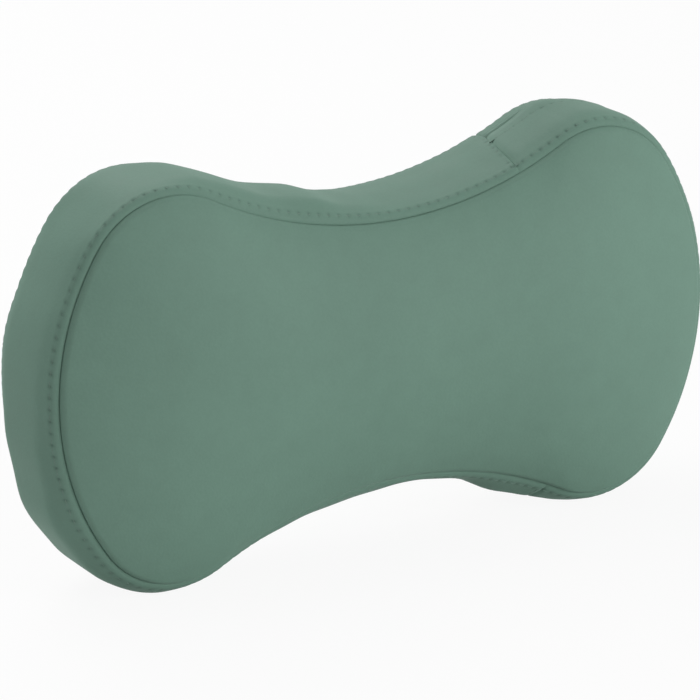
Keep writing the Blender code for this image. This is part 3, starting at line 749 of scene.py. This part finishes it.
class Shade:
    """A socket of a finish. Sums on it add Math nodes."""

    def __init__(self, finish, socket):
        self.finish = finish
        self.socket = socket

    def math(self, operation, first, second):
        return self.finish.node("ShaderNodeMath", {"operation": operation}, {0: first, 1: second})

    def __add__(self, other):
        return self.math("ADD", self, other)

    def __radd__(self, other):
        return self.math("ADD", other, self)

    def __mul__(self, other):
        return self.math("MULTIPLY", self, other)

    def __rmul__(self, other):
        return self.math("MULTIPLY", other, self)


class Finish:
    """A material, or a world, built from nodes."""

    def __init__(self, name, kind=bpy.data.materials):
        self.material = kind.new(name)
        self.material.use_nodes = True
        self.tree = self.material.node_tree
        self.target = next(n for n in self.tree.nodes if n.type.startswith("OUTPUT"))
        self.surface = self.target.inputs["Surface"].links[0].from_node

    def node(self, kind, settings=None, sockets=None, output=0):
        """A node of a type, its settings first, then the values or links of its sockets."""
        made = self.tree.nodes.new(kind)
        for key, value in (settings or {}).items():
            setattr(made, key, value)
        for key, value in (sockets or {}).items():
            self.give(made.inputs[key], value)
        return Shade(self, made.outputs[output])

    def give(self, socket, value):
        if isinstance(value, Shade):
            self.tree.links.new(value.socket, socket)
        else:
            socket.default_value = value

    def set(self, **values):
        for key, value in values.items():
            self.give(self.surface.inputs[key.replace("_", " ")], value)

    def end(self, shader):
        """Puts a shader in place of the one it came with."""
        self.tree.nodes.remove(self.surface)
        self.give(self.target.inputs["Surface"], shader)

    def place(self):
        return self.node("ShaderNodeTexCoord", output="Object")

    def attribute(self, name):
        return self.node("ShaderNodeAttribute", {"attribute_name": name}, output="Fac")

    def noise(self, at, scale, detail=2.0, roughness=0.5):
        sockets = {"Vector": at, "Scale": scale, "Detail": detail, "Roughness": roughness}
        return self.node("ShaderNodeTexNoise", sockets=sockets)

    def mix(self, share, first, second):
        """A colour between two, by a share."""
        settings = {"data_type": "RGBA", "clamp_factor": True}
        return self.node("ShaderNodeMix", settings, {0: share, 6: first, 7: second}, output=2)

    def ramp(self, value, low, high):
        """0 to 1 as a value goes from low to high."""
        sockets = {"Value": value, "From Min": low, "From Max": high}
        return self.node("ShaderNodeMapRange", {"clamp": True}, sockets)

    def bands(self, at, scale, direction, distortion=0.0):
        settings = {"wave_type": "BANDS", "bands_direction": direction}
        sockets = {"Vector": at, "Scale": scale, "Distortion": distortion}
        return self.node("ShaderNodeTexWave", settings, sockets)

    def bump(self, height, distance, strength):
        sockets = {"Height": height, "Distance": distance, "Strength": strength}
        return self.node("ShaderNodeBump", sockets=sockets)


def tone(color, factor):
    """A colour, lighter or darker by a factor, with its alpha."""
    return (color[0] * factor, color[1] * factor, color[2] * factor, 1.0)


def slot_finish(slot, name=None):
    """A new finish, with its slot's colour and the places on a piece."""
    finish = Finish((name or slot) + "_finish")
    record = next(row for row in frame["record"]["materials"] if row["slot"] == slot)
    return finish, record["base_color"], finish.place()


def faux_leather():
    finish, color, at = slot_finish("faux_leather")
    color = np.multiply(color, LEATHER_TINT)
    cloudy = finish.noise(at, 11.0, 3.0)
    mottled = finish.noise(at, 95.0, 4.0, 0.6)
    pebble = finish.node(
        "ShaderNodeTexVoronoi", {"feature": "SMOOTH_F1"}, {"Vector": at, "Scale": 780.0, "Smoothness": 0.6}
    )
    fine = finish.noise(at, 2600.0, 2.0, 0.6)
    painted_shade = finish.attribute("painted_shade")
    share = finish.ramp(cloudy, 0.3, 0.7) * 0.6 + finish.ramp(mottled, 0.3, 0.7) * 0.4
    base = finish.mix(share, tone(color, 0.94), tone(color, 1.06))
    grain_shade = finish.ramp(pebble, 0.2, 0.75)
    base = finish.mix(grain_shade * 0.10, base, tone(color, 0.72))
    # Painted shade: the leather goes towards a dark tone in the stitch holes, along the sewn rows and in the
    # slit behind the zip lap, by the per-point attribute that marks where shade is painted
    base = finish.mix(painted_shade * 0.6, base, tone(color, 0.42))
    grain = finish.bump(pebble * -0.7 + fine * 0.45, 0.12 * MM, 0.55)
    finish.set(
        Base_Color=base,
        Roughness=finish.ramp(mottled, 0.2, 0.8) * 0.1 + 0.56,
        Specular_IOR_Level=0.12,
        Normal=grain,
    )
    return finish.material


def thread(slot, dark, light):
    """Twisted thread in a slot's colour, between two tones of it."""
    finish, color, at = slot_finish(slot, slot + "_thread")
    twist = finish.bands(at, 420.0, "DIAGONAL", 0.6)
    fuzz = finish.noise(at, 3000.0, 2.0)
    finish.set(
        Base_Color=finish.mix(twist * 0.6 + fuzz * 0.2, tone(color, dark), tone(color, light)),
        Roughness=0.75,
        Normal=finish.bump(twist + fuzz * 0.4, 0.08 * MM, 0.6),
    )
    return finish.material


def webbing():
    """Elastic: lengthwise ribs are mesh; the weave across them is bump, by the strap's own UV in metres."""
    finish, color, at = slot_finish("elastic", "webbing")
    lengths = finish.node("ShaderNodeUVMap", {"uv_map": "weave"})
    picks = finish.bands(lengths, 260.0, "X")
    cords = finish.bands(lengths, 200.0, "Y")
    fuzz = finish.noise(at, 1800.0, 3.0, 0.65)
    weave = picks * 0.6 + cords * 0.4
    finish.set(
        Base_Color=finish.mix(weave * 0.7 + fuzz * 0.3, tone(color, 0.6), tone(color, 1.5)),
        Roughness=0.82,
        Sheen_Weight=0.25,
        Sheen_Roughness=0.4,
        Normal=finish.bump(weave + fuzz * 0.5, 0.2 * MM, 0.7),
    )
    return finish.material


def moulded_plastic():
    finish, color, at = slot_finish("buckle_plastic")
    spark = finish.noise(at, 1500.0, 3.0, 0.6)
    wear = finish.noise(at, 60.0, 3.0)
    finish.set(
        Base_Color=finish.mix(finish.ramp(wear, 0.35, 0.75), tone(color, 1.0), tone(color, 1.7)),
        Roughness=finish.ramp(spark, 0.3, 0.7) * 0.12 + 0.38,
        Normal=finish.bump(spark, 0.05 * MM, 0.45),
    )
    return finish.material


def zip_cloth():
    finish, color, at = slot_finish("zip_tape")
    rows = finish.bands(at, 420.0, "Y")
    fuzz = finish.noise(at, 1600.0, 3.0)
    finish.set(
        Base_Color=finish.mix(rows * 0.5 + fuzz * 0.5, tone(color, 0.75), tone(color, 1.15)),
        Roughness=0.85,
        Normal=finish.bump(rows + fuzz, 0.1 * MM, 0.6),
    )
    return finish.material


def zip_nylon():
    finish, color, at = slot_finish("zip_coil")
    fine = finish.noise(at, 900.0, 2.0)
    finish.set(
        Base_Color=finish.mix(fine, tone(color, 0.8), tone(color, 1.2)),
        Roughness=fine * 0.1 + 0.4,
        Normal=finish.bump(fine, 0.03 * MM, 0.4),
    )
    return finish.material


def plated_zinc():
    finish, color, at = slot_finish("zip_metal")
    brushed = finish.noise(at, 700.0, 3.0, 0.6)
    finish.set(
        Base_Color=finish.mix(brushed, tone(color, 0.85), tone(color, 1.25)),
        Metallic=1.0,
        Roughness=brushed * 0.15 + 0.25,
        Normal=finish.bump(brushed, 0.02 * MM, 0.3),
    )
    return finish.material


def liner_cloth():
    finish, color, at = slot_finish("liner_cloth")
    fibres = finish.noise(at, 420.0, 5.0, 0.7)
    finish.set(
        Base_Color=finish.mix(fibres, tone(color, 0.85), tone(color, 1.1)),
        Roughness=0.9,
        Normal=finish.bump(fibres, 0.2 * MM, 0.5),
    )
    return finish.material


def open_foam():
    finish, color, at = slot_finish("foam")
    cells = finish.node(
        "ShaderNodeTexVoronoi", {"feature": "DISTANCE_TO_EDGE"}, {"Vector": at, "Scale": 900.0}
    )
    clouds = finish.noise(at, 30.0, 3.0)
    walls = finish.ramp(cells, 0.0, 0.12)
    finish.set(
        Base_Color=finish.mix(walls * 0.7 + clouds * 0.3, tone(color, 1.05), tone(color, 0.75)),
        Roughness=0.95,
        Normal=finish.bump(walls, 0.3 * MM, 0.6),
    )
    return finish.material


FINISHES = {
    "faux_leather": faux_leather(),
    "leather_thread": thread("faux_leather", 0.8, 0.94),
    "strap_thread": thread("elastic", 1.0, 2.2),
    "elastic": webbing(),
    "buckle_plastic": moulded_plastic(),
    "zip_tape": zip_cloth(),
    "zip_coil": zip_nylon(),
    "zip_metal": plated_zinc(),
    "liner_cloth": liner_cloth(),
    "foam": open_foam(),
}


def finish_piece(obj, slot, *nodes, body="cushion", finish=None):
    obj.data.materials.clear()
    obj.data.materials.append(FINISHES[finish or slot])
    obj.data.shade_smooth()
    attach(obj, body)
    if nodes:
        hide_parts(*nodes)
    return obj


def leather_piece(name, node, made, closed):
    """A sheet of the cover, moved with the stuffing and given its thickness inwards."""
    points, shade = made
    mesh = mesh_from_grid(name, settled.push(points), closed)
    # Per-point painted shade for the leather finish: dark at the stitch holes and in the slit behind the zip
    # lap
    painted_shade = mesh.attributes.new("painted_shade", "FLOAT", "POINT")
    painted_shade.data.foreach_set("value", shade.reshape(-1).astype(np.float32))
    if closed:
        merge(mesh)
    obj = link(name, mesh)
    solidify = obj.modifiers.new("wall", "SOLIDIFY")
    solidify.thickness = LEATHER
    solidify.offset = -1
    baked(obj)
    finish_piece(obj, "faux_leather", node)


leather_piece("cover_front", "front_panel", panel(FRONT_SEAM, front_rise, -1), True)
leather_piece("cover_back", "back_panel", panel(BACK_SEAM, back_rise, 1), True)
leather_piece("cover_side_band", "side_band", side_band(), False)
leather_piece("cover_zip_lap", "zip_lap_strip", zip_lap(), False)
leather_piece("cover_zip_rear", "zip_rear_strip", zip_rear(), False)


def bead_row_tree():
    """Small rounded pieces, such as stitches or zip teeth, spaced evenly along an edge chain."""
    tree = bpy.data.node_groups.new("bead_row", "GeometryNodeTree")
    tree.interface.new_socket("Geometry", in_out="INPUT", socket_type="NodeSocketGeometry")
    for name, kind in (("Count", "Int"), ("Size", "Vector"), ("Finish", "Material")):
        tree.interface.new_socket(name, in_out="INPUT", socket_type="NodeSocket" + kind)
    tree.interface.new_socket("Geometry", in_out="OUTPUT", socket_type="NodeSocketGeometry")
    nodes, links = tree.nodes, tree.links
    given = nodes.new("NodeGroupInput")
    made = nodes.new("NodeGroupOutput")
    curve = nodes.new("GeometryNodeMeshToCurve")
    even = nodes.new("GeometryNodeResampleCurve")
    tangent = nodes.new("GeometryNodeInputTangent")
    along = nodes.new("FunctionNodeAlignRotationToVector")
    along.axis = "Z"
    level = nodes.new("FunctionNodeAlignRotationToVector")
    level.axis, level.pivot_axis = "X", "Z"
    level.inputs["Vector"].default_value = (0, 1, 0)
    ball = nodes.new("GeometryNodeMeshUVSphere")
    ball.inputs["Segments"].default_value = BEAD_SEGMENTS
    ball.inputs["Rings"].default_value = BEAD_RINGS
    ball.inputs["Radius"].default_value = 0.5
    placed = nodes.new("GeometryNodeInstanceOnPoints")
    real = nodes.new("GeometryNodeRealizeInstances")
    painted = nodes.new("GeometryNodeSetMaterial")
    for source, target in (
        (given.outputs["Geometry"], curve.inputs["Mesh"]),
        (curve.outputs["Curve"], even.inputs["Curve"]),
        (given.outputs["Count"], even.inputs["Count"]),
        (tangent.outputs["Tangent"], along.inputs["Vector"]),
        (along.outputs["Rotation"], level.inputs["Rotation"]),
        (even.outputs["Curve"], placed.inputs["Points"]),
        (ball.outputs["Mesh"], placed.inputs["Instance"]),
        (level.outputs["Rotation"], placed.inputs["Rotation"]),
        (given.outputs["Size"], placed.inputs["Scale"]),
        (placed.outputs["Instances"], real.inputs["Geometry"]),
        (real.outputs["Geometry"], painted.inputs["Geometry"]),
        (given.outputs["Finish"], painted.inputs["Material"]),
        (painted.outputs["Geometry"], made.inputs["Geometry"]),
    ):
        links.new(source, target)
    return tree


BEAD_ROW = bead_row_tree()


def bead_row(name, chains, pitch, size, slot, finish, body="cushion"):
    """Rows of beads along chains of points; size is across, high and along."""
    rows = []
    for points in chains:
        mesh = bpy.data.meshes.new(name)
        mesh.from_pydata(points.tolist(), [(i, i + 1) for i in range(len(points) - 1)], [])
        length = np.linalg.norm(np.diff(points, axis=0), axis=1).sum()
        obj = link(name, mesh)
        modifier = obj.modifiers.new("row", "NODES")
        modifier.node_group = BEAD_ROW
        values = {"Count": round(length / pitch) + 1, "Size": size, "Finish": FINISHES[finish]}
        for item in BEAD_ROW.interface.items_tree:
            if item.in_out == "INPUT" and item.name in values:
                modifier[item.identifier] = values[item.name]
        rows.append(baked(obj))
    whole = rows[0]
    bm = bmesh.new()
    for row in rows:
        bm.from_mesh(row.data)
    bm.to_mesh(whole.data)
    bm.free()
    for row in rows[1:]:
        bpy.data.objects.remove(row)
    return finish_piece(whole, slot, body=body, finish=finish)


def sewn_row(name, points, pitch):
    size = (THREAD, THREAD, STITCH_LENGTH * pitch / PITCH)
    bead_row(name, [points], pitch, size, "faux_leather", "leather_thread")


def row_points(start, pitch, stitches, depth, height):
    """Points of a row along the outline, from its first stitch's middle to its last one's."""
    along = start + pitch * (0.5 + np.arange(0, stitches - 1 + STITCH_STEP, STITCH_STEP))
    depths = np.full(along.shape, depth)
    heights = height(along, depths)[0] + THREAD * STITCH_PROUD
    return settled.push(side_points(along, depths, heights))


for name, depth, zip_height in (
    ("front", TOPSTITCH, lap_height),
    ("rear", BAND_DEPTH - REAR_TOPSTITCH, rear_height),
):
    points = row_points(outline.zip_length, BAND_PITCH, BAND_STITCHES, depth, band_height)
    sewn_row("band_topstitch_" + name, points, BAND_PITCH)
    points = row_points(0, ZIP_PITCH, ZIP_STITCHES, depth, zip_height)
    sewn_row("zip_topstitch_" + name, points, ZIP_PITCH)
sewn_row("lap_topstitch", row_points(0, ZIP_PITCH, ZIP_STITCHES, LAP_ROW, lap_height), ZIP_PITCH)

for name, end, inward in (("upper", outline.length, 1), ("lower", outline.zip_length, -1)):
    depths = np.arange(TOPSTITCH + JOIN_CLEAR, BAND_DEPTH - TOPSTITCH, JOIN_STEP)
    slant = join_line(depths) if inward > 0 else 0
    along = end + slant - inward * JOIN_ROW
    heights = band_height(along, depths)[0] + join_relief(JOIN_ROW, depths)[0] + THREAD * STITCH_PROUD
    row = settled.push(side_points(np.broadcast_to(along, depths.shape), depths, heights))
    sewn_row("join_stitch_" + name, row, JOIN_PITCH)

for name, side in (("front", -1), ("rear", 1)):
    along = np.linspace(COIL_START, outline.zip_length - COIL_START, PANEL_STATIONS)
    depths = np.full(along.shape, ZIP_DEPTH + side * COIL_OFFSET)
    row = side_points(along, depths, np.full(along.shape, ZIP_LEVEL))
    bead_row("zip_teeth_" + name, [row], TOOTH_PITCH, TOOTH, "zip_coil", "zip_coil")


def strap_path(side, bar_x, tail):
    """The webbing's middle line, as its solid has it, with more points."""
    seam_x = WIDTH / 2 - STRAP_SEAM_INSET
    seam_y = -BACK_CROWN + STRAP / 2 + STRAP_SEAM_LIFT
    run_y = STRAP_STANDOFF - STRAP_LAYER
    along = np.linspace(0, 1, DRAWN_POINTS)
    drawn_x = side * (seam_x + (STRAP_STRAIGHT - seam_x) * along)
    drawn = np.stack([drawn_x, seam_y + (run_y - seam_y) * (1 - (1 - along) ** 2)], -1)
    straight = np.linspace(side * STRAP_STRAIGHT, bar_x, STRAIGHT_POINTS)[1:-1]
    turns = -np.pi / 2 - np.linspace(0, np.pi, BEND_POINTS)
    bend_x = bar_x + side * STRAP_LAYER * np.cos(turns)
    bend = np.stack([bend_x, STRAP_STANDOFF + STRAP_LAYER * np.sin(turns)], -1)
    back = np.linspace(0, tail, TAIL_POINTS)[1:]
    outer = STRAP_STANDOFF + STRAP_LAYER - TAIL_DROP * smoothstep(*TAIL_LAYS, back)
    flat = np.stack([straight, np.full(len(straight), run_y)], -1)
    ending = np.stack([bar_x + side * back, outer], -1)
    return np.vstack([drawn, flat, bend, ending])


def ribbed_section():
    """(across, thickness) round the webbing: ribs along both faces, rounded edges."""
    across = np.linspace(-0.5, 0.5, RIBS * RIB_COLUMNS + 1)
    ribs = RIB_RISE * (np.cos(2 * np.pi * RIBS * across) - 1) / 2
    taper = np.minimum(1, (0.5 - np.abs(across)) / STRAP_EDGE_SHARE) ** 0.5
    face = (STRAP / 2 + ribs) * taper
    upper = np.stack([across * STRAP_WIDTH, face], -1)
    return np.vstack([upper, upper[-2:0:-1] * [1, -1]])


def strap(name, side, bar_x, tail):
    """Webbing swept along its path, with lengths along and across it in metres as its UV."""
    path = strap_path(side, bar_x, tail)
    ahead = np.gradient(path, axis=0)
    ahead /= np.linalg.norm(ahead, axis=1)[:, None]
    normal = np.stack([-ahead[:, 1], ahead[:, 0]], -1)
    section = ribbed_section()
    flat = path[:, None] + normal[:, None] * section[None, :, 1:]
    points = np.stack([flat[..., 0], flat[..., 1], np.broadcast_to(section[:, 0], flat.shape[:2])], -1)
    count = len(section)
    rows = len(path)
    quads = [
        (i * count + j, i * count + (j + 1) % count, (i + 1) * count + (j + 1) % count, (i + 1) * count + j)
        for i in range(rows - 1)
        for j in range(count)
    ]
    ends = [tuple(range(count))[::-1], tuple((rows - 1) * count + j for j in range(count))]
    mesh = bpy.data.meshes.new(name)
    mesh.from_pydata(points.reshape(-1, 3).tolist(), [], quads + ends)
    travelled = np.concatenate([[0], np.cumsum(np.linalg.norm(np.diff(path, axis=0), axis=1))])
    weave = mesh.uv_layers.new(name="weave")
    corner = np.empty(len(mesh.loops), int)
    mesh.loops.foreach_get("vertex_index", corner)
    uv = np.stack([travelled[corner // count], section[corner % count, 0]], -1)
    weave.data.foreach_set("uv", uv.reshape(-1))
    bm = bmesh.new()
    bm.from_mesh(mesh)
    bmesh.ops.recalc_face_normals(bm, faces=bm.faces)
    bm.to_mesh(mesh)
    bm.free()
    return link(name, mesh)


left = strap("webbing_left", -1, SOCKET_BAR_X, STRAP_LEFT_RETURN)
finish_piece(left, "elastic", "strap_left")
right = strap("webbing_right", 1, INSERT_BAR_X, STRAP_TAIL)
right.data.materials.append(FINISHES["elastic"])
right.data.shade_smooth()
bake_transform(right)
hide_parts("strap_right")


def tack_lines(start, end, half, crossed):
    """Chains of a strap's sewn box on its outer face, from start to end, with its diagonals if asked."""
    face = STRAP_STANDOFF + STRAP_LAYER - TAIL_DROP + STRAP / 2
    corners = [(start, -half), (end, -half), (end, half), (start, half)]
    lines = [(corners[i], corners[(i + 1) % 4]) for i in range(4)]
    if crossed:
        lines += [(corners[0], corners[2]), (corners[1], corners[3])]
    return [np.array([(x, face, z) for x, z in line]) for line in lines]


TACK = (TACK_THREAD, TACK_THREAD, TACK_PITCH * TACK_FULL)
left_end = SOCKET_BAR_X - STRAP_LEFT_RETURN
crossed_box = tack_lines(SOCKET_BAR_X - TACK_NEAR, left_end + TACK_EDGE, TACK_HALF, True)
bead_row("strap_tack_left", crossed_box, TACK_PITCH, TACK, "elastic", "strap_thread")
right_end = INSERT_BAR_X + STRAP_TAIL
hem = tack_lines(right_end - TACK_HEM, right_end - TACK_EDGE, TACK_HALF, False)
bead_row("strap_hem_right", hem, TACK_PITCH, TACK, "elastic", "strap_thread", body="buckle_insert")


def soft_filling(name, node, slot):
    """The unseen filling: its solid, made even and rounded, and drawn in by the tight cover."""
    mesh = frame["nodes"][node].data.copy()
    merge(mesh)
    middle = np.array([0, FRONT_SEAM + BAND_DEPTH / 2, 0])
    half = np.array([WIDTH, BAND_DEPTH, LOBE_HEIGHT]) / 2
    drawn = middle + (coordinates(mesh) - middle) * (1 - FILLING_EASE / half)
    mesh.vertices.foreach_set("co", drawn.reshape(-1))
    obj = link(name, mesh)
    rounding = obj.modifiers.new("rounding", "SUBSURF")
    rounding.levels = rounding.render_levels = 1
    baked(obj)
    return finish_piece(obj, slot, node)


soft_filling("filling_liner_front", "liner_front", "liner_cloth")
soft_filling("filling_liner_back", "liner_back", "liner_cloth")
soft_filling("filling_foam", "foam_core", "foam")

for row in frame["record"]["subparts"]:
    node = frame["nodes"][row["node"]]
    if not node.hide_render:
        node.data.materials.clear()
        node.data.materials.append(FINISHES[row["material_slot"]])


def camera():
    """The photograph's camera. It looks through the picture's middle, so that no lens shift is needed."""
    across = Vector((math.cos(CAMERA_AZIMUTH), math.sin(CAMERA_AZIMUTH), 0))
    back = Vector((math.sin(CAMERA_AZIMUTH), -math.cos(CAMERA_AZIMUTH), 0)) * math.cos(CAMERA_ELEVATION)
    back.z = math.sin(CAMERA_ELEVATION)
    upward = back.cross(across)
    cosine, sine = math.cos(CAMERA_ROLL), math.sin(CAMERA_ROLL)
    right_hand, upright = across * cosine + upward * sine, upward * cosine - across * sine
    eye = CAMERA_TARGET + back * CAMERA_DISTANCE
    pixel = CAMERA_DISTANCE / FOCAL_PIXELS
    middle = CAMERA_TARGET + right_hand * (IMAGE / 2 - PRINCIPAL[0]) * pixel
    middle += upright * (PRINCIPAL[1] - IMAGE / 2) * pixel
    behind = (eye - middle).normalized()
    side = upright.cross(behind).normalized()
    turn = Matrix((side, behind.cross(side), behind)).transposed().to_4x4()
    data = bpy.data.cameras.new("camera")
    data.sensor_width = SENSOR
    data.lens = FOCAL_PIXELS / IMAGE * SENSOR
    data.clip_end = CLIP_END
    obj = link("camera", data)
    obj.matrix_world = Matrix.Translation(eye) @ turn
    bpy.context.scene.camera = obj


def lamp(name, place, size, power):
    data = bpy.data.lights.new(name, "AREA")
    data.shape = "DISK"
    data.size = size
    data.energy = power
    obj = link(name, data)
    obj.location = place
    obj.rotation_mode = "QUATERNION"
    obj.rotation_quaternion = (CAMERA_TARGET - Vector(place)).to_track_quat("-Z", "Y")


def direct_rays(finish):
    """1 for rays that show the white surroundings: seen, mirrored or let through."""
    camera_ray, glossy, through = (
        finish.node("ShaderNodeLightPath", output=kind)
        for kind in ("Is Camera Ray", "Is Glossy Ray", "Is Transmission Ray")
    )
    return camera_ray.math("MAXIMUM", camera_ray.math("MAXIMUM", camera_ray, glossy), through)


def studio():
    """A plain floor that keeps the shadow, white surroundings and soft lamps."""
    floor_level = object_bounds()[0].z - FLOOR_GAP
    corners = ((-1, -1), (1, -1), (1, 1), (-1, 1))
    points = [Vector((x * FLOOR_HALF, y * FLOOR_HALF, floor_level)) for x, y in corners]
    mesh = bpy.data.meshes.new("floor")
    mesh.from_pydata(points, [], [(0, 1, 2, 3)])
    floor = link("floor", mesh)
    finish = Finish("floor_finish")
    seen = direct_rays(finish)
    matte = finish.node("ShaderNodeBsdfDiffuse", sockets={"Color": FLOOR_COLOR})
    glow = finish.node("ShaderNodeEmission", sockets={"Color": WHITE, "Strength": 1.0})
    shader = finish.node("ShaderNodeMixShader", sockets={0: seen * FLOOR_GLOW, 1: matte, 2: glow})
    finish.end(shader)
    mesh.materials.append(finish.material)
    floor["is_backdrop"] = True
    world = Finish("studio", bpy.data.worlds)
    bpy.context.scene.world = world.material
    fill = world.node("ShaderNodeBackground", sockets={"Color": WHITE, "Strength": WORLD_FILL})
    white = world.node("ShaderNodeBackground", sockets={"Color": WHITE, "Strength": 1.0})
    world.end(world.node("ShaderNodeMixShader", sockets={0: direct_rays(world), 1: fill, 2: white}))
    for settings in LAMPS:
        lamp(*settings)


camera()
studio()
bpy.context.scene.view_settings.view_transform = "Standard"
